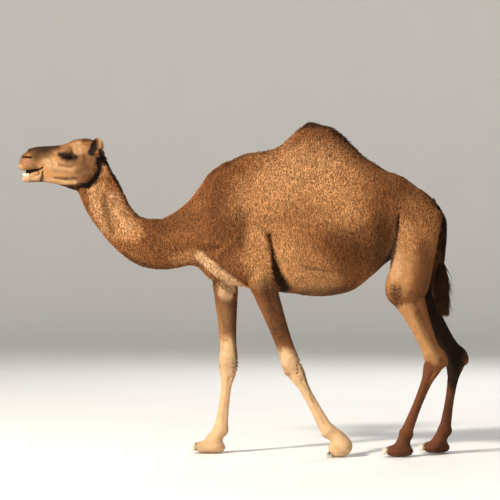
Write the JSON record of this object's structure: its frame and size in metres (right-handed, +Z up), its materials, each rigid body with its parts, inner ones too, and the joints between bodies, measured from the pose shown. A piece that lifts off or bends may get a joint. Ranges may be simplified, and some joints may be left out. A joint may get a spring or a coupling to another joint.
{
  "type": "dromedary camel",
  "caption": "One-humped camel in mid stride, a still life-size model with long curved neck, level head, hump, cushioned feet and tufted tail.",
  "frame": {"origin": "on the ground, under the middle of the animal's length and width", "axes": "+X towards the rump, with the head at -X; +Y towards the animal's right side; +Z up"},
  "size_m": [2.8572, 0.6546, 2.1003],
  "materials": {
    "coat": "woolly",
    "pale_coat": "short hair",
    "dark_hair": "long hair",
    "eye": "wet gloss",
    "nail": "horn",
    "tooth": "enamel"
  },
  "bodies": {
    "root": {"ear_left": "coat", "ear_right": "coat", "eye_left": "eye", "eye_right": "eye", "fore_left_cannon": "pale_coat", "fore_left_foot": "pale_coat", "fore_left_forearm": "coat", "fore_left_nail_1": "nail", "fore_left_nail_2": "nail", "fore_right_cannon": "pale_coat", "fore_right_foot": "pale_coat", "fore_right_forearm": "coat", "fore_right_nail_1": "nail", "fore_right_nail_2": "nail", "head": "coat", "hind_left_cannon": "pale_coat", "hind_left_foot": "pale_coat", "hind_left_gaskin": "coat", "hind_left_nail_1": "nail", "hind_left_nail_2": "nail", "hind_left_thigh": "coat", "hind_right_cannon": "pale_coat", "hind_right_foot": "pale_coat", "hind_right_gaskin": "coat", "hind_right_nail_1": "nail", "hind_right_nail_2": "nail", "hind_right_thigh": "coat", "hump": "coat", "lower_jaw": "pale_coat", "lower_teeth": "tooth", "neck_lower": "coat", "neck_upper": "coat", "tail": "coat", "tail_tuft": "dark_hair", "trunk": "coat"}
  },
  "joints": []
}
